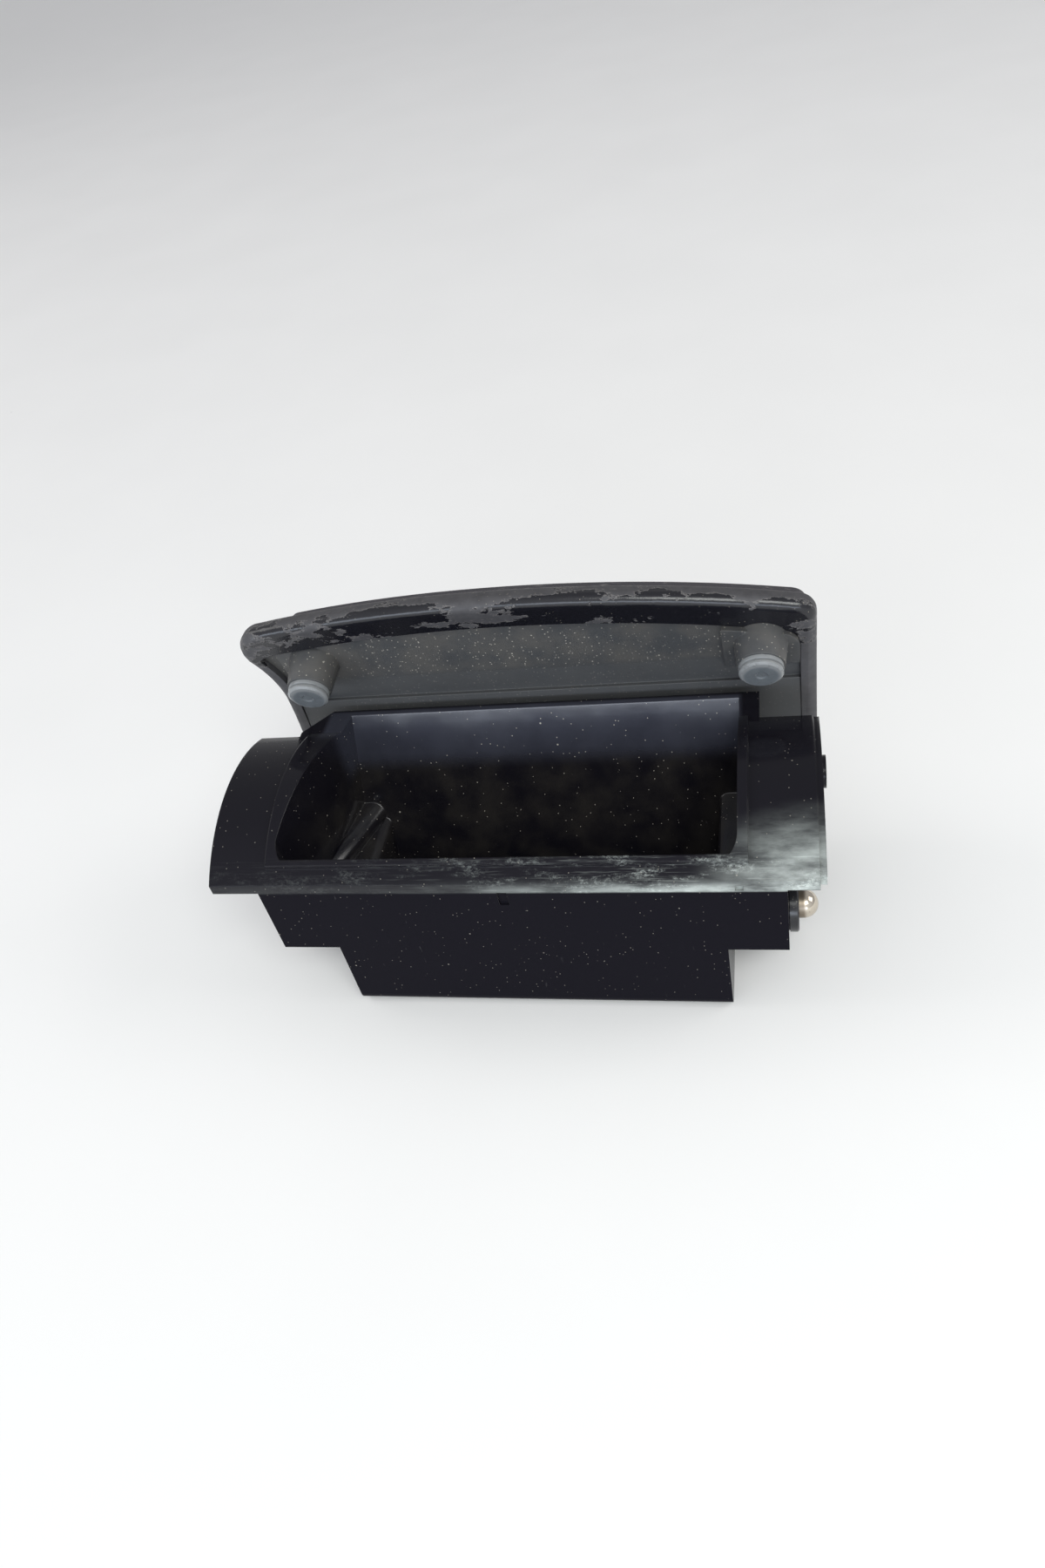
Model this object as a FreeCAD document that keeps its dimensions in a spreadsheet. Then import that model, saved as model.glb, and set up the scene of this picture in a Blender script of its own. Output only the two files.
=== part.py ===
# Swing-out tray for a dashboard or console: a moulded tray with a drum-shaped front,
# a padded fascia screwed to its back, and pivot pins on both ends (the right one is sprung).
# Axes while drawing: X along the drum, Y from the drum's lip towards the fascia, Z up,
# with zero at the left end of the lip's lower edge. Every node is then shifted by the
# same amount, so that the origin is at the middle of the base of the whole part.
import FreeCAD, Part
import math
import os
import Sketcher

doc = FreeCAD.newDocument("SwingTray")
sheet = doc.addObject("Spreadsheet::Sheet", "dims")

SIZES = [
    # drum
    ("drum_length", 150.0), ("drum_radius", 46.2), ("drum_wall", 2.2),
    ("drum_axis_y", 29.8), ("drum_axis_z", -34.9), ("drum_depth", 49.5),
    ("lip_drop", 2.6), ("end_plate", 1.5), ("end_plate_depth", 5.0),
    # mouth of the tray
    ("mouth_left", 18.0), ("mouth_right", 132.0), ("mouth_front", 4.4),
    ("rim_wall", 2.4), ("rim_rise", 1.2), ("rim_front", 3.2), ("rim_top", 8.2),
    ("rim_back", 58.3), ("back_left", 12.5), ("back_right", 137.0),
    ("back_start", 46.5), ("corner_x", 20.0), ("corner_y", 48.5),
    ("mouth_round", 7.0), ("mouth_back_x", 26.5), ("mouth_back_y", 62.0),
    # walls of the tray
    ("wall", 2.0), ("skirt_left", 12.5), ("skirt_right", 142.8), ("skirt_drop", 24.0),
    ("box_left", 28.0), ("box_right", 128.4), ("box_drop", 47.8), ("box_edge", 3.5),
    ("well_left", 31.5), ("well_right", 125.5), ("shelf_drop", 17.5),
    ("back_lean", 0.3346), ("step_drop", 22.0), ("step_x", 20.5), ("step_y", 18.0),
    ("step_slope", 0.34), ("step_round", 4.0), ("well_round", 2.5),
    ("slot_left", 74.8), ("slot_right", 77.2), ("slot_drop", 7.2), ("slot_depth", 0.6),
    ("notch_left", 131.2), ("notch_right", 133.0),
    ("relief_front", 6.0), ("relief_front_x", 15.8), ("relief_back", 46.0), ("relief_back_x", 21.6),
    # pivots
    ("pivot_y", 24.8), ("pivot_z", -36.1), ("pin_radius", 3.8), ("shank_radius", 4.1),
    ("guide_radius", 4.15), ("flange_radius", 7.4), ("flange_depth", 2.3),
    ("bush_radius", 5.05), ("bush_bore", 4.5), ("boss_radius", 7.0), ("boss_bore", 5.1),
    ("right_face", 145.3), ("left_face", 5.0), ("pin_reach", 1.2), ("bush_back", 131.2),
    ("shoulder", 141.5), ("collar_radius", 4.4), ("collar_back", 139.6),
    ("cap_depth", 1.1), ("left_bush_back", 21.0), ("left_pin_back", 19.5), ("left_shank", 3.3),
    ("left_pin_radius", 3.6),
    ("spring_radius", 3.3), ("spring_wire", 0.35), ("spring_turns", 5.0), ("gap", 0.05),
    ("detent_radius", 4.0), ("detent_rise", 0.9), ("detent_y", 30.5), ("detent_z", 5.3),
    # fascia, drawn as shells about one long axis
    ("fascia_axis_y", -35.0), ("lip_radius", 96.0), ("panel_radius", 98.0),
    ("cover_radius", 100.5), ("skin_radius", 102.3), ("facing_radius", 104.0),
    ("fascia_left", 5.2), ("flare_start", 12.0), ("flare_x", 0.6), ("flare_z", 28.0),
    ("flare_bend", 40.0), ("tip_bend", 9.5), ("crown_left_x", 6.5), ("crown_left_z", 39.3),
    ("crown_bend", 312.0), ("crown_right_x", 147.0), ("crown_right_z", 37.3),
    ("fascia_right", 151.5), ("corner_bend", 5.5), ("corner_z", 32.0), ("foot_z", -47.8),
    ("side_lip", 4.0), ("top_lip", 9.0), ("edge_skin", 2.0), ("bead_front", 2.2), ("bead_back", 2.8),
    ("sill_face", 61.2), ("sill_top", 9.9), ("sill_foot", -6.0), ("facet_foot", 62.4),
    ("crease_y", 61.1), ("crease_z", 17.4), ("facet_top_y", 55.6), ("facet_top_z", 37.0),
    ("facing_left", 16.0), ("facing_right", 149.0), ("facing_inset", 1.2),
    # stop posts and buffers
    ("post_left_x", 19.2), ("post_right_x", 138.0), ("post_y", 60.6), ("post_z", 25.8),
    ("post_tilt", 110.0), ("post_length", 10.6), ("post_base", 7.0), ("post_tip", 5.9),
    ("pad_half", 9.3), ("pad_rise", 1.0), ("buffer_radius", 5.5), ("buffer_height", 2.7),
    ("stem_radius", 2.0), ("stem_length", 6.0),
    # screws
    ("screw_high", -10.5), ("screw_low", -24.0), ("screw_high_x", 38.0),
    ("screw_low_x", 46.0), ("screw_mid", 78.2), ("screw_shank", 1.6), ("screw_head", 2.6),
    ("screw_thick", 0.9), ("screw_length", 9.0), ("screw_boss", 3.6),
    # the shift that puts the origin at the middle of the base
    ("middle_x", 76.2), ("middle_y", 34.5),
]


# ends of the tools that reach past the fascia on every side
PAST_LEFT = -5.0
PAST_RIGHT = 160.0
PAST_FRONT = 5.0
PAST_BACK = 90.0


class Dim:
    """A size with the spreadsheet expression that gives it."""

    def __init__(self, value, text):
        self.value = float(value)
        self.text = text

    def __add__(self, other):
        other = as_dim(other)
        return Dim(self.value + other.value, f"({self.text} + {other.text})")

    def __sub__(self, other):
        other = as_dim(other)
        return Dim(self.value - other.value, f"({self.text} - {other.text})")

    def __mul__(self, other):
        other = as_dim(other)
        return Dim(self.value * other.value, f"({self.text} * {other.text})")

    def __neg__(self):
        return Dim(-self.value, f"(0 - {self.text})")

    def __radd__(self, other):
        return as_dim(other) + self

    def __rsub__(self, other):
        return as_dim(other) - self

    def __rmul__(self, other):
        return as_dim(other) * self


def as_dim(number):
    if isinstance(number, Dim):
        return number
    return Dim(number, repr(float(number)) if number >= 0 else f"(0 - {-float(number)!r})")


def root(size):
    return Dim(math.sqrt(size.value), f"sqrt({size.text})")


class Sizes:
    """The cells of the spreadsheet, by their aliases."""

    def __getattr__(self, alias):
        return Dim(sheet.get(alias), f"dims.{alias}")


for row, (alias, number) in enumerate(SIZES, start=1):
    sheet.set(f"A{row}", alias)
    sheet.set(f"B{row}", str(number))
    sheet.setAlias(f"B{row}", alias)
doc.recompute()
size = Sizes()


# ---------------------------------------------------------------- helpers

def bind(obj, path, amount):
    obj.setExpression(path, as_dim(amount).text)


def place(obj, x, y, z):
    for letter, amount in zip("xyz", (x, y, z)):
        bind(obj, f"Placement.Base.{letter}", amount)


def block(name, x0, x1, y0, y1, z0, z1):
    obj = doc.addObject("Part::Box", name)
    bind(obj, "Length", as_dim(x1) - x0)
    bind(obj, "Width", as_dim(y1) - y0)
    bind(obj, "Height", as_dim(z1) - z0)
    place(obj, x0, y0, z0)
    return obj


def rod(name, radius, x0, x1, y, z):
    """A cylinder along X."""
    obj = doc.addObject("Part::Cylinder", name)
    bind(obj, "Radius", radius)
    bind(obj, "Height", as_dim(x1) - x0)
    obj.Placement.Rotation = FreeCAD.Rotation(FreeCAD.Vector(0, 1, 0), 90)
    place(obj, x0, y, z)
    return obj


def fuse(name, *parts):
    obj = doc.addObject("Part::MultiFuse", name)
    obj.Shapes = list(parts)
    obj.Refine = False
    return obj


def cut(name, base, *tools):
    obj = doc.addObject("Part::Cut", name)
    obj.Base = base
    obj.Tool = tools[0] if len(tools) == 1 else fuse(name + "_tools", *tools)
    obj.Refine = False
    return obj


def common(name, first, second):
    obj = doc.addObject("Part::MultiCommon", name)
    obj.Shapes = [first, second]
    obj.Refine = True
    return obj


def bend_centre(start, end, radius, left):
    """The centre of an arc from start to end, which lies left or right of the way."""
    middle = (start + end) * 0.5
    chord = end - start
    rise = math.sqrt(radius ** 2 - (chord.Length / 2) ** 2)
    side = FreeCAD.Vector(-chord.y, chord.x, 0).normalize()
    return middle + side * (rise if left else -rise)


def draw(sketch, corners):
    """A closed outline. A corner is (across, up) or (across, up, radius, side): the side
    that has the centre of the arc from it to the next corner."""
    points = [FreeCAD.Vector(as_dim(c[0]).value, as_dim(c[1]).value, 0) for c in corners]
    ends = []
    for i, corner in enumerate(corners):
        start = points[i]
        end = points[(i + 1) % len(points)]
        if len(corner) == 2:
            line = sketch.addGeometry(Part.LineSegment(start, end))
            ends.append((line, 1, 2))
            continue
        radius = as_dim(corner[2])
        left = corner[3] == "left"
        centre = bend_centre(start, end, radius.value, left)
        first, last = (start, end) if left else (end, start)
        angle_0 = math.atan2(first.y - centre.y, first.x - centre.x)
        angle_1 = math.atan2(last.y - centre.y, last.x - centre.x)
        if angle_1 < angle_0:
            angle_1 += 2 * math.pi
        circle = Part.Circle(centre, FreeCAD.Vector(0, 0, 1), radius.value)
        arc = sketch.addGeometry(Part.ArcOfCircle(circle, angle_0, angle_1))
        number = sketch.addConstraint(Sketcher.Constraint("Radius", arc, radius.value))
        sketch.setExpression(f"Constraints[{number}]", radius.text)
        ends.append((arc, 1, 2) if left else (arc, 2, 1))
    for i, corner in enumerate(corners):
        here = ends[i]
        after = ends[(i + 1) % len(ends)]
        sketch.addConstraint(Sketcher.Constraint("Coincident", here[0], here[2], after[0], after[1]))
        for kind, amount in (("DistanceX", corner[0]), ("DistanceY", corner[1])):
            amount = as_dim(amount)
            rule = Sketcher.Constraint(kind, -1, 1, here[0], here[1], amount.value)
            number = sketch.addConstraint(rule)
            sketch.setExpression(f"Constraints[{number}]", amount.text)


def sketch_in(body, role, corners, start=0.0):
    sketch = body.newObject("Sketcher::SketchObject", body.Name + "_sketch")
    plane = [p for p in body.Origin.OriginFeatures if p.Role == role][0]
    sketch.AttachmentSupport = [(plane, "")]
    sketch.MapMode = "FlatFace"
    bind(sketch, "AttachmentOffset.Base.z", start)
    draw(sketch, corners)
    return sketch


def along_x(name, corners, x0, x1):
    """An outline in Y and Z, padded from x0 to x1."""
    body = doc.addObject("PartDesign::Body", name)
    pad = body.newObject("PartDesign::Pad", name + "_pad")
    pad.Profile = sketch_in(body, "YZ_Plane", corners, x0)
    bind(pad, "Length", as_dim(x1) - x0)
    return body


def along_y(name, corners, y0, y1):
    """An outline in X and Z, padded from y0 to y1."""
    body = doc.addObject("PartDesign::Body", name)
    pad = body.newObject("PartDesign::Pad", name + "_pad")
    pad.Profile = sketch_in(body, "XZ_Plane", corners, -as_dim(y1))
    bind(pad, "Length", as_dim(y1) - y0)
    return body


def along_z(name, corners, z0, z1):
    """An outline in X and Y, padded from z0 to z1."""
    body = doc.addObject("PartDesign::Body", name)
    pad = body.newObject("PartDesign::Pad", name + "_pad")
    pad.Profile = sketch_in(body, "XY_Plane", corners, z0)
    bind(pad, "Length", as_dim(z1) - z0)
    return body


def turned(name, corners):
    """An outline of radius and height, turned about Z."""
    body = doc.addObject("PartDesign::Body", name)
    turn = body.newObject("PartDesign::Revolution", name + "_turn")
    sketch = sketch_in(body, "XZ_Plane", corners)
    turn.Profile = sketch
    turn.ReferenceAxis = (sketch, ["V_Axis"])
    turn.Angle = 360
    return body


nodes = []


def node(obj, label, x=0.0, y=0.0, z=0.0):
    """Names a finished piece and moves it into the frame of the whole part."""
    obj.Label = label
    place(obj, as_dim(x) - size.middle_x, as_dim(y) - size.middle_y, as_dim(z) - size.foot_z)
    nodes.append(obj)
    return obj


# ---------------------------------------------------------------- tray

def back_line(z, outside=0.0):
    """Y of the leaning back wall's inner face at height z."""
    return size.rim_back - size.drum_wall + (as_dim(z) - size.rim_top) * size.back_lean + outside


def drum_solid(name, grow, x0, x1, y0, y1, z0):
    """The part of the drum, grown by a little, that lies in a box."""
    whole = rod(name + "_round", size.drum_radius + grow, x0, x1, size.drum_axis_y, size.drum_axis_z)
    return common(name, whole, block(name + "_box", x0, x1, y0, y1, z0, 20.0))


def drum_shell(name, grow, depth, x0, x1, y0, z0):
    """A curved strip of the drum's wall."""
    solid = drum_solid(name + "_solid", grow, x0, x1, y0, size.drum_depth, z0)
    core = rod(name + "_core", size.drum_radius + grow - depth, as_dim(x0) - 1, as_dim(x1) + 1,
               size.drum_axis_y, size.drum_axis_z)
    return cut(name, solid, core)


def round_over(name, x, z, radius, side, length):
    """What rounding takes off the edge of a ledge at height z that runs along Y."""
    out = radius if side == "right" else -radius
    free = 0.6 if side == "left" else -0.6
    turn = "right" if side == "left" else "left"
    return along_y(name, [
        (x + out, z, radius, turn), (x, z - radius), (x + free, z - radius), (x + free, z + 0.6),
        (x + out, z + 0.6)], 0.0, length)


def make_lower_plan(shelf):
    """The spaces below the shelf: a shallow oblique step on the left, then the deep well."""
    deep = block("well_plan", size.well_left, size.well_right, 0.0, 60.0, -60.0, shelf + 1)
    run = 60.0 - size.step_y
    far_x = size.step_x + run * size.step_slope
    shallow = along_z("step_plan", [
        (size.step_x, 0.0), (size.well_left + 8, 0.0), (size.well_left + 8, 60.0), (far_x, 60.0),
        (size.step_x, size.step_y)], -size.step_drop, shelf + 1)
    ridge = round_over("ridge", as_dim(0.0), shelf, size.step_round, "left", 50.0)
    ridge.Placement.Rotation = FreeCAD.Rotation(
        FreeCAD.Vector(0, 0, 1), -math.degrees(math.atan(size.step_slope.value)))
    place(ridge, size.step_x, size.step_y, 0.0)
    rounds = [
        round_over("step_round", size.well_left, -size.step_drop, size.well_round, "left", 60.0),
        round_over("right_round", size.well_right, shelf, size.well_round, "right", 60.0)]
    return fuse("lower_plan", deep, shallow, ridge, *rounds)


def make_tray():
    shelf = -size.shelf_drop
    floor = -size.box_drop + size.wall
    wings = drum_shell("wings", 0.0, size.drum_wall, 0.0, size.drum_length, 0.0, -size.lip_drop)
    right_end = drum_shell("right_end", -0.5, size.end_plate_depth, size.drum_length - 0.5,
                           size.drum_length + size.end_plate, 1.2, -2.0)
    left_end = drum_shell("left_end", -0.5, size.end_plate_depth, 0.3,
                          size.end_plate, 1.2, -2.0)
    detent = rod("detent", size.detent_radius, size.drum_length, size.drum_length
                 + size.end_plate + size.detent_rise, size.detent_y, size.detent_z)

    rim = drum_solid("rim", size.rim_rise, size.mouth_left - size.rim_wall,
                     size.mouth_right + size.rim_wall, size.rim_front, size.back_start + 2,
                     shelf - size.wall)
    back = along_x("back_block", [
        (size.back_start, size.rim_top), (size.rim_back, size.rim_top),
        (back_line(shelf - size.wall, size.drum_wall), shelf - size.wall),
        (size.back_start - 12, shelf - size.wall), (size.back_start - 12, 2.0),
        (size.back_start, 2.0)], size.back_left, size.back_right)
    front = block("front_wall", size.skirt_left, size.skirt_right, 0.0, size.wall,
                  -size.skirt_drop, -1.0)
    skirts = [
        drum_solid("skirt_a", -0.6, size.skirt_left, size.skirt_left + size.wall, 1.0,
                   size.drum_depth - 3, -size.skirt_drop),
        drum_solid("skirt_b", -0.6, size.skirt_right - size.wall, size.skirt_right, 1.0,
                   size.drum_depth - 3, -size.skirt_drop)]
    box = along_x("box_outside", [
        (0.0, -1.0), (back_line(-1.0, size.drum_wall), -1.0),
        (back_line(-size.box_drop + size.box_edge, size.drum_wall), -size.box_drop + size.box_edge,
         size.box_edge + 1.5, "right"),
        (back_line(-size.box_drop, size.drum_wall) - size.box_edge, -size.box_drop),
        (size.box_edge, -size.box_drop, size.box_edge, "right"),
        (0.0, -size.box_drop + size.box_edge)], size.box_left, size.box_right)
    upper_floor = along_x("upper_floor", [
        (0.0, shelf), (back_line(shelf, size.drum_wall), shelf),
        (back_line(shelf - size.wall, size.drum_wall), shelf - size.wall),
        (0.0, shelf - size.wall)], size.mouth_left - size.rim_wall, size.mouth_right + size.rim_wall)
    bosses = [
        rod("boss_right", size.boss_radius, size.box_right - 2, size.right_face - size.flange_depth,
            size.pivot_y, size.pivot_z),
        rod("boss_left", size.boss_radius, size.left_face + size.flange_depth, size.box_left + 2,
            size.pivot_y, size.pivot_z)]
    columns = []
    for label, x, z in screw_places():
        column = doc.addObject("Part::Cylinder", "column_" + label)
        bind(column, "Radius", size.screw_boss)
        start = back_line(z, 0.6)
        bind(column, "Height", panel_face(z - size.screw_boss) - 0.1 - start)
        column.Placement.Rotation = FreeCAD.Rotation(FreeCAD.Vector(1, 0, 0), -90)
        place(column, x, start, z)
        columns.append(column)
    step = along_x("step_floor", [
        (0.0, -size.skirt_drop), (back_line(-size.skirt_drop, size.drum_wall), -size.skirt_drop),
        (back_line(shelf, size.drum_wall), shelf), (0.0, shelf)],
        size.mouth_left - size.rim_wall, size.box_left + 3)
    solid = fuse("tray_solid", wings, right_end, left_end, detent, rim, back, front, box,
                 upper_floor, step, *skirts, *bosses, *columns)

    inner = size.wall
    profile = along_x("mouth_profile", [
        (size.mouth_front, 20.0), (back_line(20.0), 20.0), (back_line(shelf), shelf),
        (inner, shelf), (inner, -3.5), (size.mouth_front, -1.2)], size.mouth_left, size.mouth_right)
    bend = size.mouth_round
    plan = along_z("mouth_plan", [
        (size.mouth_left, inner + bend, bend, "left"), (size.mouth_left + bend, inner),
        (size.mouth_right - bend, inner, bend, "left"), (size.mouth_right, inner + bend),
        (size.mouth_right, size.mouth_back_y), (size.mouth_back_x, size.mouth_back_y)], shelf, 20.0)
    mouth = common("mouth", profile, plan)
    lower = common("lower_space", along_x("lower_profile", [
        (inner, shelf + 1), (back_line(shelf + 1), shelf + 1),
        (back_line(floor + 4), floor + 4, 6.0, "right"),
        (back_line(floor) - 4, floor), (inner + 3, floor, 3.0, "right"), (inner, floor + 3)],
        size.mouth_left, size.mouth_right), make_lower_plan(shelf))
    relief_plan = along_z("relief_plan", [
        (size.back_left, size.relief_front), (size.relief_front_x, size.relief_front),
        (size.relief_back_x, size.relief_back), (size.back_left, size.relief_back)],
        shelf - size.wall - 1, 20.0)
    relief_core = rod("relief_core", size.drum_radius - size.drum_wall, 5.0, 30.0,
                      size.drum_axis_y, size.drum_axis_z)
    relief = common("left_relief", relief_plan, relief_core)
    chamfer = along_z("corner_cut", [
        (size.back_left - 1, size.corner_y), (size.corner_x, size.rim_back + 0.3),
        (size.corner_x, size.rim_back + 3), (size.back_left - 1, size.rim_back + 3)], -30.0, 20.0)
    slot = block("front_slot", size.slot_left, size.slot_right, -1.0, size.slot_depth,
                 -size.slot_drop, -size.lip_drop - 0.2)
    notch = block("front_notch", size.notch_left, size.notch_right, -1.0, size.slot_depth,
                  -size.lip_drop + 0.1, -0.9)
    bores = [
        rod("bore_right", size.boss_bore, size.bush_back - 0.2, size.right_face,
            size.pivot_y, size.pivot_z),
        rod("bore_left", size.boss_bore, size.left_face, size.left_bush_back + 0.2,
            size.pivot_y, size.pivot_z)]
    pilots = [screw_rod("pilot_" + label, size.screw_shank, x, z, 0.4) for label, x, z in screw_places()]
    rough = cut("tray_rough", solid, mouth, lower, relief, chamfer, slot, notch, *bores, *pilots)
    node(rough, "tray")


# ---------------------------------------------------------------- fascia

def panel_face(z):
    """Y of the carrier's inner shell at height z."""
    z = as_dim(z)
    return size.fascia_axis_y + root(size.panel_radius * size.panel_radius - z * z)


def screw_places():
    for row, z, half in (("high", size.screw_high, size.screw_high_x),
                         ("low", size.screw_low, size.screw_low_x)):
        yield row + "_left", size.screw_mid - half, z
        yield row + "_right", size.screw_mid + half, z


def screw_rod(name, radius, x, z, extra):
    """A rod along a screw's shank, from under its head towards the tray."""
    obj = doc.addObject("Part::Cylinder", name)
    bind(obj, "Radius", radius)
    bind(obj, "Height", size.screw_length + extra)
    obj.Placement.Rotation = FreeCAD.Rotation(FreeCAD.Vector(1, 0, 0), 90)
    place(obj, x, screw_seat(z), z)
    return obj


def fascia_outline(side, top):
    """The fascia seen from the front, drawn in from its edge by side and top."""
    side = as_dim(side)
    top = as_dim(top)
    return [
        (size.fascia_left + side, size.foot_z + side),
        (size.fascia_left + side, size.flare_start, size.flare_bend, "left"),
        (size.flare_x + side, size.flare_z, size.tip_bend, "right"),
        (size.crown_left_x + side, size.crown_left_z - top, size.crown_bend, "right"),
        (size.crown_right_x - side, size.crown_right_z - top, size.corner_bend, "right"),
        (size.fascia_right - side, size.corner_z - top),
        (size.fascia_right - side, size.foot_z + side)]


def shell(name, inner, outer, x0, x1):
    """A long shell between two radii about the fascia's axis."""
    big = rod(name + "_big", outer, x0, x1, size.fascia_axis_y, 0.0)
    small = rod(name + "_small", inner, as_dim(x0) - 1, as_dim(x1) + 1, size.fascia_axis_y, 0.0)
    return cut(name, big, small)


def fascia_prism(name, side, top, outer):
    """Everything inside an outline that lies within one radius."""
    prism = along_y(name + "_prism", fascia_outline(side, top), PAST_FRONT, PAST_BACK)
    limit = rod(name + "_limit", outer, PAST_LEFT, PAST_RIGHT, size.fascia_axis_y, 0.0)
    return common(name, prism, limit)


def make_posts(name, grow):
    """The two leaning cones that carry the buffers, or the room for them."""
    posts = []
    for label, x in (("left", size.post_left_x), ("right", size.post_right_x)):
        post = doc.addObject("Part::Cone", name + label)
        bind(post, "Radius1", size.post_base + grow)
        bind(post, "Radius2", size.post_tip + grow)
        bind(post, "Height", size.post_length)
        post.Placement.Rotation = FreeCAD.Rotation(FreeCAD.Vector(1, 0, 0), size.post_tilt.value)
        place(post, x, size.post_y, size.post_z)
        posts.append(post)
    return posts


def make_carrier():
    edge = size.edge_skin
    outline = along_y("carrier_outline", fascia_outline(edge, edge), PAST_FRONT, PAST_BACK)
    plate = common("carrier_plate", shell("carrier_shell", size.panel_radius, size.cover_radius,
                                          PAST_LEFT, PAST_RIGHT), outline)
    left = size.fascia_left + size.side_lip + 0.1
    right = size.fascia_right - size.side_lip - 0.1
    sill = along_x("sill", [
        (size.sill_face, size.sill_foot), (size.sill_face, size.sill_top),
        (size.facet_foot, size.sill_top), (size.crease_y, size.crease_z),
        (size.facet_top_y, size.facet_top_z), (size.facet_top_y + 1.5, size.facet_top_z),
        (size.crease_y + 1.8, size.crease_z), (size.sill_face + 2.6, size.sill_top - 3),
        (size.sill_face + 2.6, size.sill_foot)], left, right)
    sill_trim = fascia_prism("sill_trim", size.side_lip + 0.1, size.top_lip + 0.1, size.cover_radius)
    face = common("carrier_face", sill, sill_trim)
    posts = make_posts("post_", 0.0)
    pad = along_x("post_pad", [
        (size.crease_y + 1.0, size.crease_z - 2), (size.crease_y - size.pad_rise, size.crease_z - 2),
        (size.facet_top_y - size.pad_rise - 0.6, size.facet_top_z - 6),
        (size.facet_top_y + 2.6, size.facet_top_z - 6)],
        size.post_right_x - size.pad_half, right)
    solid = fuse("carrier_solid", plate, face, common("post_pad_trimmed", pad, fascia_prism(
        "pad_trim", size.side_lip + 0.1, size.top_lip + 0.1, size.cover_radius)), *posts)
    holes = []
    for label, x in (("left", size.post_left_x), ("right", size.post_right_x)):
        hole = doc.addObject("Part::Cylinder", "stem_hole_" + label)
        bind(hole, "Radius", size.stem_radius)
        bind(hole, "Height", size.stem_length + 0.3)
        tilt = math.radians(size.post_tilt.value)
        start = size.post_length - size.stem_length - 0.3
        hole.Placement.Rotation = FreeCAD.Rotation(FreeCAD.Vector(1, 0, 0), size.post_tilt.value)
        place(hole, x, size.post_y - start * math.sin(tilt), size.post_z + start * math.cos(tilt))
        holes.append(hole)
    for label, x, z in screw_places():
        holes.append(screw_rod("clear_" + label, size.screw_shank + 0.1, x, z, 0.0))
        sink = doc.addObject("Part::Cylinder", "sink_" + label)
        bind(sink, "Radius", size.screw_head + 0.1)
        bind(sink, "Height", 4.0)
        sink.Placement.Rotation = FreeCAD.Rotation(FreeCAD.Vector(1, 0, 0), -90)
        place(sink, x, screw_seat(z), z)
        holes.append(sink)
    node(cut("carrier", solid, *holes), "fascia_carrier")


def screw_seat(z):
    """Y of the face that a screw's head sits on."""
    return panel_face(z + size.screw_head) + 0.25


def round_rims(whole):
    """Rounds the cover's front and back edges into a bead."""
    doc.recompute()
    rims = []
    for number, edge in enumerate(whole.Shape.Edges, start=1):
        reach = [math.hypot(edge.valueAt(at).y - size.fascia_axis_y.value, edge.valueAt(at).z)
                 for at in (edge.FirstParameter, (edge.FirstParameter + edge.LastParameter) / 2,
                            edge.LastParameter)]
        for shell_radius, bend in ((size.lip_radius, size.bead_front), (size.skin_radius, size.bead_back)):
            if all(abs(r - shell_radius.value) < 0.01 for r in reach):
                rims.append((number, bend.value, bend.value))
    bead = doc.addObject("Part::Fillet", "bead")
    bead.Base = whole
    bead.Edges = rims
    return bead


def make_cover():
    skin = shell("skin_shell", size.lip_radius, size.skin_radius, PAST_LEFT, PAST_RIGHT)
    outline = along_y("cover_outline", fascia_outline(0.0, 0.0), PAST_FRONT, PAST_BACK)
    whole = round_rims(common("cover_whole", skin, outline))
    recess = fascia_prism("cover_recess", size.side_lip, size.top_lip, size.cover_radius)
    edge = size.edge_skin
    pocket_outline = along_y("pocket_outline", fascia_outline(edge, edge), PAST_FRONT, PAST_BACK)
    pocket = common("pocket", shell("pocket_shell", size.panel_radius, size.cover_radius,
                                    PAST_LEFT, PAST_RIGHT), pocket_outline)
    node(cut("cover", whole, recess, pocket, *make_posts("post_room_", 0.15)), "fascia_cover")


def make_facing():
    inset = size.facing_inset
    outline = along_y("facing_outline", [
        (size.facing_left, size.foot_z + 6, 4.0, "left"),
        (size.facing_left - 0.01, size.foot_z + 6.1),
        (size.facing_left, size.crown_left_z - 2.0, 4.0, "right"),
        (size.facing_left + 3, size.crown_left_z + 2.2 - inset, size.crown_bend, "right"),
        (size.facing_right - 4, size.crown_right_z + 0.6 - inset, 4.5, "right"),
        (size.facing_right, size.crown_right_z - 4.5 - inset),
        (size.facing_right, size.foot_z + 6)], PAST_FRONT, PAST_BACK)
    plate = shell("facing_shell", size.skin_radius, size.facing_radius, PAST_LEFT, PAST_RIGHT)
    node(common("facing", plate, outline), "fascia_facing")


def make_buffer(label, x):
    radius = size.buffer_radius
    tall = size.buffer_height
    body = turned("buffer_body_" + label, [
        (0.0, -size.stem_length), (size.stem_radius, -size.stem_length), (size.stem_radius, 0.0),
        (radius, 0.0), (radius, tall * 0.36), (radius - 0.5, tall * 0.43),
        (radius - 0.5, tall * 0.5), (radius - 0.1, tall * 0.57), (radius - 0.1, tall * 0.8),
        (radius - 0.7, tall * 0.97), (1.6, tall), (1.2, tall - 0.25), (0.0, tall - 0.25)])
    tilt = math.radians(size.post_tilt.value)
    body.Placement.Rotation = FreeCAD.Rotation(FreeCAD.Vector(1, 0, 0), size.post_tilt.value)
    node(body, "buffer_" + label, x, size.post_y - size.post_length * math.sin(tilt),
         size.post_z + size.post_length * math.cos(tilt))


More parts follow.
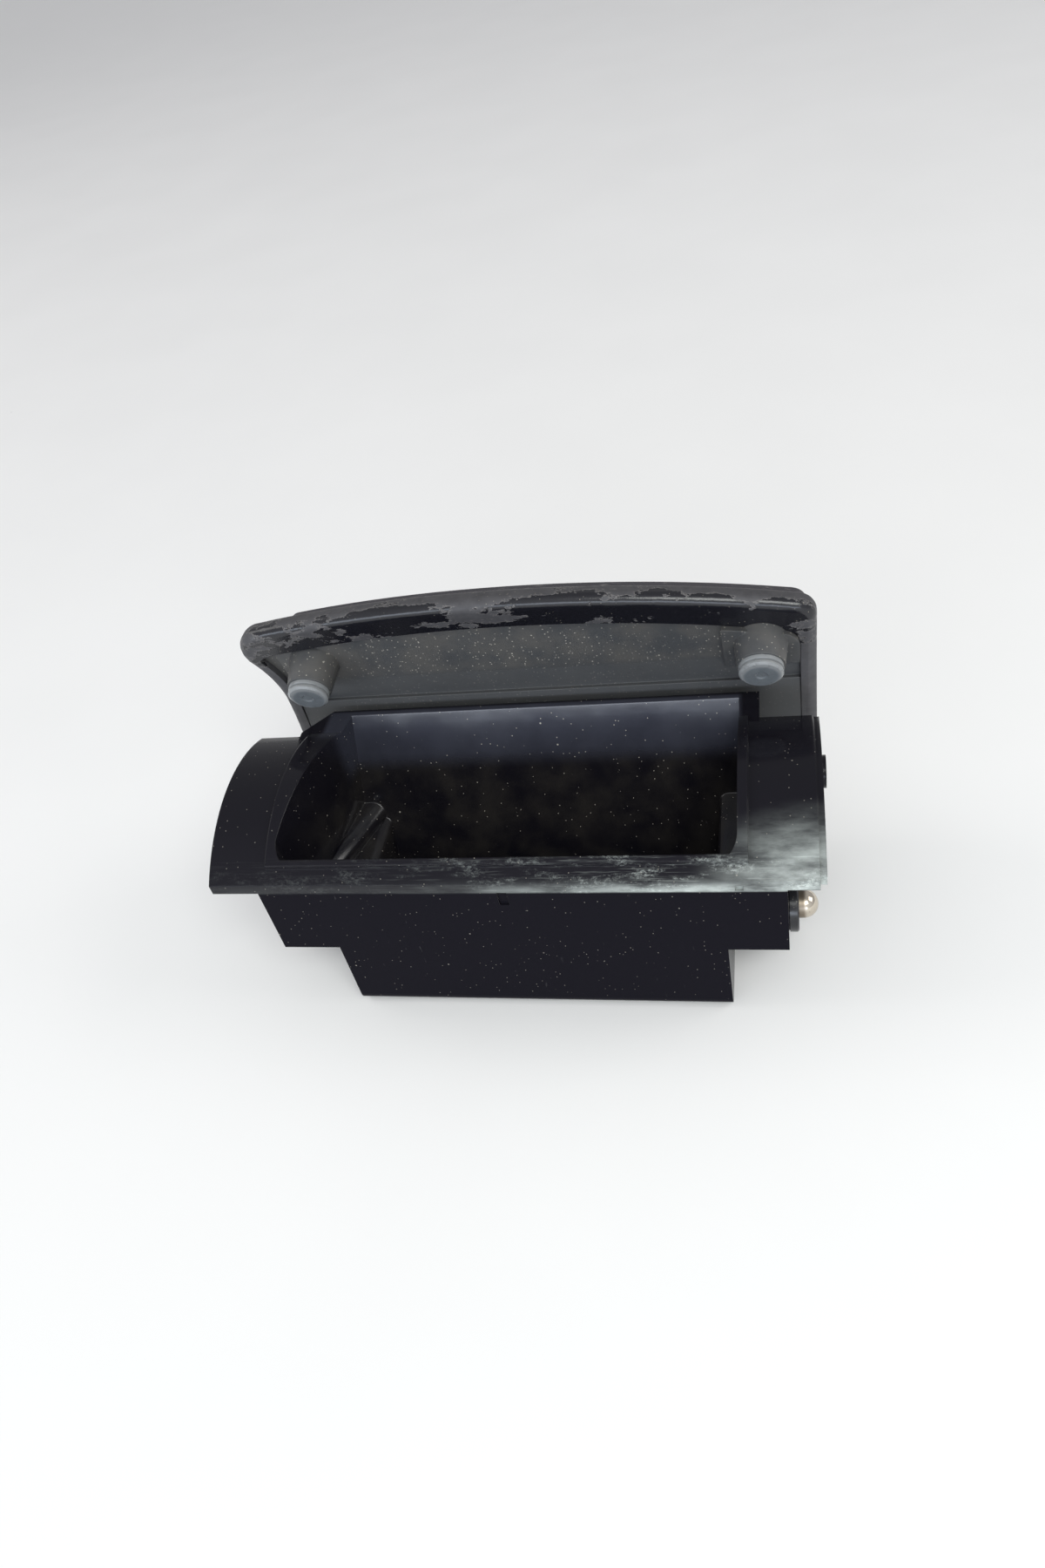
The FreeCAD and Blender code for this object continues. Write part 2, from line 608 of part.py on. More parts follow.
def make_screws():
    screws = []
    for label, x, z in screw_places():
        shank = doc.addObject("Part::Cylinder", "screw_shank_" + label)
        bind(shank, "Radius", size.screw_shank)
        bind(shank, "Height", size.screw_length)
        shank.Placement.Rotation = FreeCAD.Rotation(FreeCAD.Vector(1, 0, 0), 90)
        place(shank, x, screw_seat(z), z)
        head = doc.addObject("Part::Cylinder", "screw_head_" + label)
        bind(head, "Radius", size.screw_head)
        bind(head, "Height", size.screw_thick)
        head.Placement.Rotation = FreeCAD.Rotation(FreeCAD.Vector(1, 0, 0), -90)
        place(head, x, screw_seat(z), z)
        screws += [shank, head]
    node(fuse("screws", *screws), "fascia_screws")


# ---------------------------------------------------------------- pivots

def turned_rod(name, label, corners, x, flip=False):
    """A turned piece whose axis lies along X, with its outline's height running that way."""
    body = turned(name, corners)
    body.Placement.Rotation = FreeCAD.Rotation(FreeCAD.Vector(0, 1, 0), -90 if flip else 90)
    node(body, label, x, size.pivot_y, size.pivot_z)


def make_right_pivot():
    face = size.right_face - size.bush_back
    flange = face - size.flange_depth
    step = size.shoulder - size.bush_back
    turned_rod("bush_r", "pivot_bush_right", [
        (size.bush_bore, 0.0), (size.bush_radius, 0.0), (size.bush_radius, flange),
        (size.flange_radius, flange), (size.flange_radius, face - 0.4), (size.flange_radius - 0.4, face),
        (size.guide_radius, face), (size.guide_radius, step), (size.bush_bore, step)], size.bush_back)
    collar = size.collar_back
    head = size.right_face - collar
    turned_rod("plunger", "pivot_plunger", [
        (0.0, 0.0), (size.collar_radius, 0.0), (size.collar_radius, size.shoulder - collar - size.gap),
        (size.shank_radius, size.shoulder - collar - size.gap), (size.shank_radius, head - 0.2),
        (size.pin_radius, head), (size.pin_radius, head + size.pin_reach, size.pin_radius, "left"),
        (0.0, head + size.pin_reach + size.pin_radius)], collar)
    turned_rod("cap_r", "pivot_cap", [
        (0.0, 0.0), (size.bush_bore, 0.0), (size.bush_bore, size.cap_depth), (0.0, size.cap_depth)],
        size.bush_back)
    make_spring()


def make_spring():
    start = size.bush_back + size.cap_depth + size.spring_wire + size.gap
    length = size.collar_back - size.spring_wire - size.gap - start
    helix = doc.addObject("Part::Helix", "spring_path")
    bind(helix, "Radius", size.spring_radius)
    bind(helix, "Height", length)
    bind(helix, "Pitch", Dim(length.value / size.spring_turns.value, f"({length.text} / dims.spring_turns)"))
    wire = doc.addObject("Part::Circle", "spring_wire_section")
    bind(wire, "Radius", size.spring_wire)
    wire.Placement.Rotation = FreeCAD.Rotation(FreeCAD.Vector(1, 0, 0), 90)
    bind(wire, "Placement.Base.x", size.spring_radius)
    sweep = doc.addObject("Part::Sweep", "spring")
    sweep.Sections = [wire]
    sweep.Spine = (helix, ["Edge1"])
    sweep.Solid = True
    sweep.Frenet = True
    sweep.Placement.Rotation = FreeCAD.Rotation(FreeCAD.Vector(0, 1, 0), 90)
    node(sweep, "pivot_spring", start, size.pivot_y, size.pivot_z)


def make_left_pivot():
    flange = size.flange_depth
    reach = size.left_bush_back - size.left_face
    turned_rod("bush_l", "pivot_bush_left", [
        (size.left_shank, 0.0), (size.bush_radius, 0.0), (size.bush_radius, reach - flange),
        (size.flange_radius, reach - flange), (size.flange_radius, reach - 0.4),
        (size.flange_radius - 0.4, reach), (size.left_shank, reach)], size.left_bush_back, flip=True)
    depth = size.left_pin_back - size.left_face
    turned_rod("pin_l", "pivot_pin_left", [
        (0.0, 0.0), (size.left_shank, 0.0), (size.left_shank, depth), (size.left_pin_radius, depth),
        (size.left_pin_radius, depth + size.pin_reach, size.left_pin_radius, "left"),
        (0.0, depth + size.pin_reach + size.left_pin_radius)], size.left_pin_back, flip=True)


make_tray()
make_carrier()
make_cover()
make_facing()
make_buffer("left", size.post_left_x)
make_buffer("right", size.post_right_x)
make_screws()
make_right_pivot()
make_left_pivot()
doc.recompute()

# ---------------------------------------------------------------- checks and files

for obj in doc.Objects:
    if "Invalid" in obj.State or "Error" in obj.State:
        raise RuntimeError(f"{obj.Name} did not build: {obj.State}")
for obj in nodes:
    if obj.Shape.isNull() or not obj.Shape.isValid() or not obj.Shape.Solids:
        raise RuntimeError(f"{obj.Label} has no valid solid")

os.makedirs("parts", exist_ok=True)
for obj in nodes:
    obj.Shape.exportStep(f"parts/{obj.Label}.step")
    box = obj.Shape.BoundBox
    print(f"{obj.Label:20s} solids {len(obj.Shape.Solids)}  volume {obj.Shape.Volume:9.1f}  "
          f"x {box.XMin:7.2f} {box.XMax:7.2f}  y {box.YMin:7.2f} {box.YMax:7.2f}  "
          f"z {box.ZMin:7.2f} {box.ZMax:7.2f}")
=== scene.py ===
# The look of the swing-out tray: procedural materials for every piece, a tray with three
# finishes, a coil spring, a pale table, light and camera.
import bpy
from mathutils import Matrix, Vector


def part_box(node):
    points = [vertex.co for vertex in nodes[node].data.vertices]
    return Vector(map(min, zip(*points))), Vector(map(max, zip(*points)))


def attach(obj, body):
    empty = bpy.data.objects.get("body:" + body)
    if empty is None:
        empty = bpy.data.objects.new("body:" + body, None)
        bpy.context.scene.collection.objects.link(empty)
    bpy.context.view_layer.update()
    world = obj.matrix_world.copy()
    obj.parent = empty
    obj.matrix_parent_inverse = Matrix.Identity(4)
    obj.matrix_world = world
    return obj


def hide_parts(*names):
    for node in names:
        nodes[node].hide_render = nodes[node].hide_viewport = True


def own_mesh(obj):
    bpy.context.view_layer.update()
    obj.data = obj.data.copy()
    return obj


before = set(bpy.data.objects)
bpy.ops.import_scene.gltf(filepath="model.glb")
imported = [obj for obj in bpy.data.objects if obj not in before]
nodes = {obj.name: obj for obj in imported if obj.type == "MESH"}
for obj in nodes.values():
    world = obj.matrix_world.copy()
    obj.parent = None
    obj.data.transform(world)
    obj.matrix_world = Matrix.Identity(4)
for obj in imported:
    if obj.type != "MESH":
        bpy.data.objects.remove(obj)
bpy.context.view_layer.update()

MM = 0.001

scene = bpy.context.scene
scene.view_settings.view_transform = "Standard"
scene.view_settings.look = "None"


# ---------------------------------------------------------------- camera

LOOK = Vector((-0.23465, 0.70793, -0.66617))
UP = Vector((0.02917, 0.69012, 0.72311))
EYE = Vector((0.067753, -0.203327, 0.239502))

camera_data = bpy.data.cameras.new("camera")
camera_data.lens = 25.42
camera_data.sensor_width = 36.0
camera_data.clip_start = 0.01
camera_data.clip_end = 20.0
camera = bpy.data.objects.new("camera", camera_data)
scene.collection.objects.link(camera)
back = -LOOK.normalized()
right = UP.cross(back).normalized()
up = back.cross(right).normalized()
camera.matrix_world = Matrix((
    (right.x, up.x, back.x, EYE.x),
    (right.y, up.y, back.y, EYE.y),
    (right.z, up.z, back.z, EYE.z),
    (0.0, 0.0, 0.0, 1.0)))
scene.camera = camera


# ---------------------------------------------------------------- node helpers

EDGE_SAMPLES = 6


class Paint:
    """A material whose nodes are added by short calls. Coordinates are in millimetres."""

    def __init__(self, name, edge=0.0):
        self.material = bpy.data.materials.new(name)
        self.material.use_nodes = True
        self.tree = self.material.node_tree
        self.shader = self.tree.nodes["Principled BSDF"]
        where = self.tree.nodes.new("ShaderNodeTexCoord").outputs["Object"]
        self.place = self.vector("SCALE", where, scale=1.0 / MM)
        rounding = self.tree.nodes.new("ShaderNodeBevel")
        rounding.samples = EDGE_SAMPLES
        rounding.inputs["Radius"].default_value = edge * MM
        self.normal = rounding.outputs["Normal"] if edge else None

    def link(self, source, socket):
        """Set a socket to a number or a tuple, or join it to another node's output."""
        if isinstance(source, (int, float)):
            socket.default_value = source
        elif isinstance(source, tuple):
            full = len(source) == len(socket.default_value)
            socket.default_value = source if full else (*source, 1.0)
        else:
            self.tree.links.new(source, socket)

    def vector_node(self, kind, a, b=None):
        node = self.tree.nodes.new("ShaderNodeVectorMath")
        node.operation = kind
        self.link(a, node.inputs[0])
        if b is not None:
            self.link(b, node.inputs[1])
        return node

    def vector(self, kind, a, b=None, scale=None):
        node = self.vector_node(kind, a, b)
        if scale is not None:
            self.link(scale, node.inputs["Scale"])
        return node.outputs[0]

    def length(self, a):
        return self.vector_node("LENGTH", a).outputs["Value"]

    def dot(self, a, b):
        return self.vector_node("DOT_PRODUCT", a, b).outputs["Value"]

    def math(self, kind, a, b=0.0, clamp=False):
        node = self.tree.nodes.new("ShaderNodeMath")
        node.operation = kind
        node.use_clamp = clamp
        self.link(a, node.inputs[0])
        self.link(b, node.inputs[1])
        return node.outputs[0]

    def both(self, a, b):
        return self.math("MULTIPLY", a, b)

    def axis(self, letter):
        node = self.tree.nodes.new("ShaderNodeSeparateXYZ")
        self.link(self.place, node.inputs[0])
        return node.outputs[letter]

    def noise(self, size, detail=3.0, rough=0.55, stretch=(1.0, 1.0, 1.0), shift=0.0):
        """Noise whose features are about size millimetres, drawn out along stretch."""
        node = self.tree.nodes.new("ShaderNodeTexNoise")
        node.inputs["Scale"].default_value = 1.0
        node.inputs["Detail"].default_value = detail
        node.inputs["Roughness"].default_value = rough
        squeeze = tuple(1.0 / (size * s) for s in stretch)
        moved = self.vector("ADD", self.place, (shift, shift * 0.7, shift * 1.3))
        self.link(self.vector("MULTIPLY", moved, squeeze), node.inputs["Vector"])
        return node.outputs["Fac"]

    def ramp(self, value, low, high, out_low=0.0, out_high=1.0):
        """Go smoothly from out_low to out_high as value goes from low to high."""
        node = self.tree.nodes.new("ShaderNodeMapRange")
        node.interpolation_type = "SMOOTHSTEP"
        node.clamp = True
        self.link(value, node.inputs["Value"])
        for name, amount in (("From Min", low), ("From Max", high),
                             ("To Min", out_low), ("To Max", out_high)):
            node.inputs[name].default_value = amount
        return node.outputs["Result"]

    def along(self, letter, low, high, out_low=0.0, out_high=1.0):
        """A ramp between two places along an axis, in millimetres."""
        return self.ramp(self.axis(letter), low, high, out_low, out_high)

    def band(self, letter, low, high, soft):
        """One between low and high millimetres along an axis, fading over soft."""
        place = self.axis(letter)
        rise = self.ramp(place, low - soft, low + soft)
        fall = self.ramp(place, high - soft, high + soft, 1.0, 0.0)
        return self.both(rise, fall)

    def specks(self, spacing, size, share, shift=0.0):
        """Small round grains: one per cell of spacing millimetres, in a share of the cells."""
        node = self.tree.nodes.new("ShaderNodeTexVoronoi")
        node.inputs["Scale"].default_value = 1.0
        node.inputs["Randomness"].default_value = 1.0
        moved = self.vector("ADD", self.place, (shift, shift, shift))
        self.link(self.vector("SCALE", moved, scale=1.0 / spacing), node.inputs["Vector"])
        edge = size / spacing
        grain = self.ramp(node.outputs["Distance"], edge * 0.6, edge, 1.0, 0.0)
        split = self.tree.nodes.new("ShaderNodeSeparateColor")
        self.link(node.outputs["Color"], split.inputs[0])
        chosen = self.math("LESS_THAN", split.outputs["Red"], share)
        return self.both(grain, chosen)

    def mix(self, factor, a, b):
        """Blend two colours."""
        node = self.tree.nodes.new("ShaderNodeMix")
        node.data_type = "RGBA"
        self.link(factor, node.inputs["Factor"])
        self.link(a, node.inputs[6])
        self.link(b, node.inputs[7])
        return node.outputs[2]

    def blend(self, factor, a, b):
        """Blend two numbers."""
        node = self.tree.nodes.new("ShaderNodeMix")
        self.link(factor, node.inputs["Factor"])
        self.link(a, node.inputs["A"])
        self.link(b, node.inputs["B"])
        return node.outputs["Result"]

    def bump(self, height, depth):
        """Relief of depth millimetres where height goes from 0 to 1."""
        node = self.tree.nodes.new("ShaderNodeBump")
        node.inputs["Strength"].default_value = 1.0
        node.inputs["Distance"].default_value = depth * MM
        self.link(height, node.inputs["Height"])
        if self.normal is not None:
            self.link(self.normal, node.inputs["Normal"])
        self.normal = node.outputs["Normal"]

    def finish(self, colour, rough, **uniform):
        """Join the colour, roughness and relief to the shader, and set its uniform sockets."""
        self.link(colour, self.shader.inputs["Base Color"])
        self.link(rough, self.shader.inputs["Roughness"])
        if self.normal is not None:
            self.link(self.normal, self.shader.inputs["Normal"])
        for name, amount in uniform.items():
            self.shader.inputs[name.replace("_", " ")].default_value = amount
        return self.material


# ---------------------------------------------------------------- places and colours

# Places are in millimetres in the row's frame.
BUFFER_AXIS = (0.0, -0.9397, -0.3420)
FASCIA_AXIS = (0.0, -69.5, 47.8)
ACROSS_FASCIA = (0.0, 1.0, 1.0)
STRIP_Y = (-37.0, -29.6)
STRIP_Z = (45.0, 60.0)
STRIP_CORNER = (72.0, -33.0, 46.0)
BIN_X = (-57.0, 56.0)
BIN_Y = (-30.5, 23.0)
DIMPLE = (33.5, 16.5, 43.0)

BLACK = (0.0060, 0.0056, 0.0090)
BARE_BLACK = (0.008, 0.008, 0.011)
DUST = (0.36, 0.33, 0.27)
TRAY_DUST = (0.42, 0.39, 0.33)
TRAY_FILM = (0.30, 0.27, 0.20)
# Pale grey of worn edges, also used for the painted highlight on the front strip.
WORN_EDGE_AND_HIGHLIGHT = (0.50, 0.54, 0.51)
# Bluish tint of the reflection painted high on the bin's back wall.
PAINTED_WALL_REFLECTION = (0.036, 0.038, 0.052)
SCRATCH = (0.4, 0.4, 0.4)
PLATE_GREY = (0.052, 0.054, 0.057)
PLATE_FILM = (0.34, 0.29, 0.22)
PLATE_DUST = (0.46, 0.43, 0.37)
COAT_DARK, COAT_PALE = (0.028, 0.027, 0.031), (0.072, 0.070, 0.074)
COAT_RIM = (0.24, 0.225, 0.215)
COAT_SEAM = (0.36, 0.35, 0.34)
SKIN_DARK, SKIN_PALE = (0.030, 0.028, 0.034), (0.052, 0.048, 0.055)
SKIN_SCRAPE = (0.30, 0.28, 0.27)
DISC_DARK, DISC_PALE = (0.100, 0.112, 0.124), (0.165, 0.180, 0.192)
DISC_RIM = (0.25, 0.26, 0.265)
GRIME = (0.10, 0.10, 0.10)
NICKEL_DARK, NICKEL_PALE = (0.62, 0.55, 0.45), (0.72, 0.66, 0.57)
TARNISH = (0.10, 0.065, 0.035)
SPRING_STEEL = (0.50, 0.49, 0.47)
DARK_ZINC = (0.30, 0.30, 0.29)
NYLON_DARK, NYLON_PALE = (0.008, 0.008, 0.010), (0.016, 0.016, 0.018)
TABLE_DARK, TABLE_PALE = (0.865, 0.86, 0.85), (0.89, 0.885, 0.875)
TABLE_FLECK = (0.25, 0.24, 0.22)


# ---------------------------------------------------------------- materials

def strip_wear_and_highlight(p):
    """Wear on the strip in front of the mouth: streaks and pits, and a painted highlight low
    down and at its right corner.
    """
    strip = p.both(p.band("Y", *STRIP_Y, 0.4), p.band("Z", *STRIP_Z, 0.4))
    right_more = p.along("X", -60.0, 50.0, 0.10, 1.0)
    hairs = p.ramp(p.noise(0.42, 3.0, 0.7, (34.0, 1.0, 1.0)), 0.54, 0.72)
    rubbed = p.ramp(p.noise(4.0, 6.0, 0.75, (3.4, 1.0, 1.0), shift=5.0), 0.48, 0.66)
    pits = p.ramp(p.noise(0.7, 5.0, 0.8, (1.3, 1.0, 1.0), shift=60.0), 0.40, 0.66)
    worn = p.math("MAXIMUM", p.both(hairs, 0.35), p.both(rubbed, pits))
    worn = p.math("MULTIPLY", p.both(worn, strip), right_more, clamp=True)
    # Painted highlight: a light band painted low along the strip, stronger to the right, and a
    # painted patch of light round its right corner, broken into streaks.
    low_edge = p.along("Z", 45.4, 49.6, 1.0, 0.0)
    low_strip_highlight = p.both(low_edge, p.along("X", -30.0, 72.0, 0.05, 1.4))
    from_corner = p.vector("SUBTRACT", p.place, STRIP_CORNER)
    from_corner = p.length(p.vector("MULTIPLY", from_corner, (0.7, 1.0, 1.0)))
    corner_highlight = p.both(p.ramp(from_corner, 1.0, 20.0, 1.0, 0.0), p.along("Z", 45.0, 45.2))
    streaks = p.ramp(p.noise(4.0, 5.0, 0.6, (3.0, 1.0, 1.0)), 0.25, 0.75, 0.10, 0.80)
    painted_highlight = p.both(p.math("MAXIMUM", p.both(strip, low_strip_highlight), corner_highlight), streaks)
    return worn, painted_highlight


def tray_plastic(name, gloss):
    """Black moulded plastic: dust grains, a worn front strip with a painted highlight, marks
    inside the bin and a painted reflection high on its back wall.
    """
    p = Paint(name, 0.5)
    cloud = p.noise(22.0, 4.0)
    patches = p.noise(9.0, 5.0, shift=40.0)
    worn, painted_highlight = strip_wear_and_highlight(p)
    scratch = p.ramp(p.noise(0.35, 2.0, 0.6, (3.0, 1.0, 14.0), shift=11.0), 0.70, 0.76)
    scratch = p.both(scratch, p.ramp(cloud, 0.5, 0.64))

    fine = p.specks(1.5, 0.17, 0.60)
    coarse = p.specks(4.4, 0.28, 0.30, shift=7.0)
    dusty = p.both(p.math("MAXIMUM", fine, coarse), p.ramp(patches, 0.30, 0.50))
    inside = p.both(p.band("X", *BIN_X, 1.0), p.band("Y", *BIN_Y, 0.5))
    dusty = p.both(dusty, p.math("ADD", 0.45, p.both(inside, 0.55)))
    low_wall = p.both(inside, p.along("Z", 36.0, 50.0, 1.0, 0.25))
    film = p.both(p.both(p.ramp(patches, 0.3, 0.8), low_wall), 0.06)
    back_wall = p.both(inside, p.along("Y", 8.0, 14.0))
    high_wall = p.both(back_wall, p.along("Z", 39.0, 45.0))

    colour = p.mix(p.math("ADD", 0.004, film), BLACK, TRAY_FILM)
    # Real wear and the painted highlight both lighten the colour towards the worn-edge grey.
    pale = p.math("ADD", p.both(worn, 0.55), painted_highlight, clamp=True)
    colour = p.mix(pale, colour, WORN_EDGE_AND_HIGHLIGHT)
    # Painted reflection: a faint bluish reflection painted into the colour high on the bin's
    # back wall.
    painted_wall_reflection = p.both(high_wall, p.ramp(patches, 0.2, 0.8, 0.7, 1.0))
    colour = p.mix(painted_wall_reflection, colour, PAINTED_WALL_REFLECTION)
    colour = p.mix(p.both(scratch, 0.05), colour, SCRATCH)
    colour = p.mix(p.both(dusty, 0.85), colour, TRAY_DUST)

    rough = p.ramp(cloud, 0.3, 0.7, 0.11, 0.18)
    rough = p.blend(worn, rough, 0.40)
    rough = p.blend(dusty, rough, 0.85)

    from_dimple = p.length(p.vector("SUBTRACT", p.place, DIMPLE))
    p.bump(p.ramp(from_dimple, 0.4, 3.4), 0.09)
    p.bump(p.noise(0.9, 2.0), 0.004)
    p.bump(p.noise(17.0, 2.0), 0.07)
    p.bump(p.math("SUBTRACT", 1.0, p.math("MAXIMUM", worn, scratch)), 0.02)
    return p.finish(colour, rough, Specular_IOR_Level=gloss)


def matte_plastic():
    """Dark grey moulded plastic with brownish dust, most of it on the upper panel."""
    p = Paint("dark_matte_plastic", 0.4)
    cloud = p.noise(16.0, 4.0)
    fine = p.both(p.specks(1.0, 0.22, 0.65), p.ramp(cloud, 0.36, 0.56, 0.40, 1.0))
    coarse = p.both(p.specks(2.6, 0.31, 0.5, shift=3.0), p.ramp(cloud, 0.36, 0.50))
    panel = p.along("Z", 64.5, 67.5, 0.20, 1.0)
    dust = p.both(p.math("MAXIMUM", fine, coarse), panel)
    film = p.both(p.ramp(p.noise(9.0, 5.0, shift=9.0), 0.3, 0.7), p.both(panel, 0.10))
    colour = p.mix(film, PLATE_GREY, PLATE_FILM)
    colour = p.mix(p.both(dust, 0.7), colour, PLATE_DUST)
    rough = p.blend(dust, p.ramp(cloud, 0.3, 0.7, 0.46, 0.58), 0.9)
    p.bump(p.noise(0.35, 2.0), 0.018)
    p.bump(p.noise(4.0, 3.0), 0.02)
    return p.finish(colour, rough)


def peeling_coat():
    """A grey soft-touch coat that has peeled from black plastic in jagged patches."""
    p = Paint("peeling_soft_coat", 0.3)
    jag = p.noise(7.5, 6.0, 0.68, (2.2, 1.0, 1.0))
    crumb = p.noise(1.2, 4.0, 0.7, (1.6, 1.0, 1.0), shift=17.0)
    edge = p.math("ADD", jag, p.both(p.math("SUBTRACT", crumb, 0.5), 0.16))
    from_axis = p.vector("SUBTRACT", p.place, FASCIA_AXIS)
    reach = p.length(p.vector("MULTIPLY", from_axis, ACROSS_FASCIA))
    outward = p.ramp(reach, 96.0, 100.6, -0.075, 0.085)
    below = p.along("Z", 66.0, 74.0, 0.25, 0.0)
    level = p.math("ADD", edge, p.math("ADD", outward, below))
    bare = p.ramp(level, 0.487, 0.497, 1.0, 0.0)
    rim = p.both(p.ramp(level, 0.492, 0.500), p.ramp(level, 0.500, 0.518, 1.0, 0.0))
    seam = p.both(p.ramp(reach, 101.2, 102.1), p.ramp(crumb, 0.42, 0.62))
    dust = p.both(p.specks(1.0, 0.15, 0.5), p.ramp(p.noise(5.0, 3.0), 0.42, 0.6))

    coat = p.mix(p.noise(3.0, 4.0), COAT_DARK, COAT_PALE)
    colour = p.mix(bare, coat, BARE_BLACK)
    colour = p.mix(p.both(rim, 0.45), colour, COAT_RIM)
    colour = p.mix(p.both(seam, 0.5), colour, COAT_SEAM)
    colour = p.mix(p.both(dust, 0.6), colour, DUST)
    rough = p.blend(bare, p.ramp(crumb, 0.3, 0.7, 0.52, 0.68), 0.20)
    p.bump(p.noise(0.4, 2.0), 0.015)
    p.bump(p.math("SUBTRACT", 1.0, bare), 0.09)
    return p.finish(colour, rough)


def facing_skin():
    """Grey-purple padded facing with a fine leather grain and worn edges."""
    p = Paint("grained_facing", 0.6)
    grain_size = 0.9
    cells = p.tree.nodes.new("ShaderNodeTexVoronoi")
    cells.feature = "DISTANCE_TO_EDGE"
    cells.inputs["Scale"].default_value = 1.0
    p.link(p.vector("SCALE", p.place, scale=1.0 / grain_size), cells.inputs["Vector"])
    grain = p.ramp(cells.outputs["Distance"], 0.02, 0.22)
    cloud = p.noise(12.0, 4.0)
    colour = p.mix(cloud, SKIN_DARK, SKIN_PALE)
    scrape = p.ramp(p.noise(0.7, 4.0, 0.7, (9.0, 1.0, 1.0), shift=21.0), 0.60, 0.68)
    colour = p.mix(p.both(scrape, 0.35), colour, SKIN_SCRAPE)
    p.bump(grain, 0.05)
    p.bump(p.noise(0.3, 2.0), 0.01)
    return p.finish(colour, p.ramp(cloud, 0.3, 0.7, 0.50, 0.62))


def rubber(name, low, high):
    """Translucent buffer rubber: a pale rim round a darker bluish disc, with some grime."""
    p = Paint(name, 0.3)
    middle = tuple((a + b) / 2 / MM for a, b in zip(low, high))
    away = p.vector("SUBTRACT", p.place, middle)
    lengthwise = p.vector("SCALE", BUFFER_AXIS, scale=p.dot(away, BUFFER_AXIS))
    radius = p.length(p.vector("SUBTRACT", away, lengthwise))
    rim = p.ramp(radius, 3.7, 4.9)
    cloud = p.noise(2.6, 3.0)
    grime = p.ramp(p.noise(1.6, 5.0, 0.7, shift=4.0), 0.54, 0.72)
    colour = p.mix(rim, p.mix(cloud, DISC_DARK, DISC_PALE), DISC_RIM)
    colour = p.mix(p.both(grime, 0.45), colour, GRIME)
    p.bump(p.noise(0.7, 3.0), 0.012)
    rough = p.ramp(cloud, 0.3, 0.7, 0.14, 0.26)
    return p.finish(colour, rough, Transmission_Weight=0.15, IOR=1.45)


def nickel():
    """Warm nickel with a brownish tarnish in the groove behind the ball end."""
    p = Paint("warm_nickel")
    cloud = p.noise(1.6, 4.0)
    turned = p.noise(0.16, 2.0, 0.5, (1.0, 30.0, 30.0))
    groove = p.both(p.along("X", 70.2, 71.4, 1.0, 0.0), 0.7)
    tarnish = p.math("MAXIMUM", groove, p.both(p.ramp(cloud, 0.55, 0.72), 0.35))
    colour = p.mix(tarnish, p.mix(cloud, NICKEL_DARK, NICKEL_PALE), TARNISH)
    p.bump(turned, 0.003)
    rough = p.blend(tarnish, p.ramp(cloud, 0.3, 0.7, 0.12, 0.22), 0.5)
    return p.finish(colour, rough, Metallic=1.0)


def steel(name, tint, rough):
    """Plated or bare steel with fine scratches."""
    p = Paint(name)
    cloud = p.noise(1.2, 4.0)
    dark = tuple(0.55 * c for c in tint)
    p.bump(p.noise(0.2, 2.0, 0.5, (6.0, 1.0, 1.0)), 0.004)
    worn = p.ramp(cloud, 0.3, 0.7, rough, rough + 0.15)
    return p.finish(p.mix(cloud, dark, tint), worn, Metallic=1.0)


def nylon(name, low, high):
    """Hard black plastic with light wear and a little dust."""
    p = Paint(name)
    cloud = p.noise(3.0, 4.0)
    dust = p.both(p.specks(0.9, 0.14, 0.4), p.ramp(cloud, 0.45, 0.6))
    colour = p.mix(p.both(dust, 0.5), p.mix(cloud, NYLON_DARK, NYLON_PALE), DUST)
    p.bump(p.noise(0.6, 2.0), 0.008)
    return p.finish(colour, p.ramp(cloud, 0.3, 0.7, low, high))


def table_top():
    """The pale table: nearly white, with very faint mottling."""
    p = Paint("pale_table")
    cloud = p.noise(90.0, 4.0)
    fleck = p.specks(38.0, 0.5, 0.25)
    colour = p.mix(cloud, TABLE_DARK, TABLE_PALE)
    colour = p.mix(p.both(fleck, 0.6), colour, TABLE_FLECK)
    p.bump(p.noise(1.5, 3.0), 0.01)
    return p.finish(colour, p.ramp(cloud, 0.3, 0.7, 0.55, 0.65))


# ---------------------------------------------------------------- pieces

BIN_MIDDLE = Vector((2.0, -5.0, 35.0)) * MM
BIN_LOW = Vector((-59.0, -34.6, 1.0)) * MM
BIN_HIGH = Vector((57.0, 25.0, 57.0)) * MM
DRUM_FOOT = 45.1 * MM
BUSH_ROUGH = (0.14, 0.26)
CAP_ROUGH = (0.3, 0.45)
IN_BIN, ON_DRUM, OUTSIDE = range(3)
TRAY_FINISHES = (("black_bin_plastic", 1.0), ("black_drum_plastic", 0.17),
                 ("black_outer_plastic", 0.02))
TURNED = ("pivot_plunger", "pivot_pin_left", "pivot_bush_right", "pivot_bush_left",
          "pivot_cap", "fascia_screws")


def zone(face):
    """Which finish a face of the tray has."""
    middle = face.center
    inside = all(low < at < high for low, at, high in zip(BIN_LOW, middle, BIN_HIGH))
    if inside and face.normal.dot(BIN_MIDDLE - middle) > 0.0:
        return IN_BIN
    return ON_DRUM if middle.z > DRUM_FOOT else OUTSIDE


def copied(node, name, body):
    """A piece with a copy of the node's mesh, which takes the node's place."""
    piece = bpy.data.objects.new(name, nodes[node].data.copy())
    scene.collection.objects.link(piece)
    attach(piece, body)
    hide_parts(node)
    return piece


def dress(obj, *materials):
    obj.data.materials.clear()
    for material in materials:
        obj.data.materials.append(material)


tray = copied("tray", "tray_moulding", "tray")
dress(tray, *[tray_plastic(name, gloss) for name, gloss in TRAY_FINISHES])
for face in tray.data.polygons:
    face.material_index = zone(face)

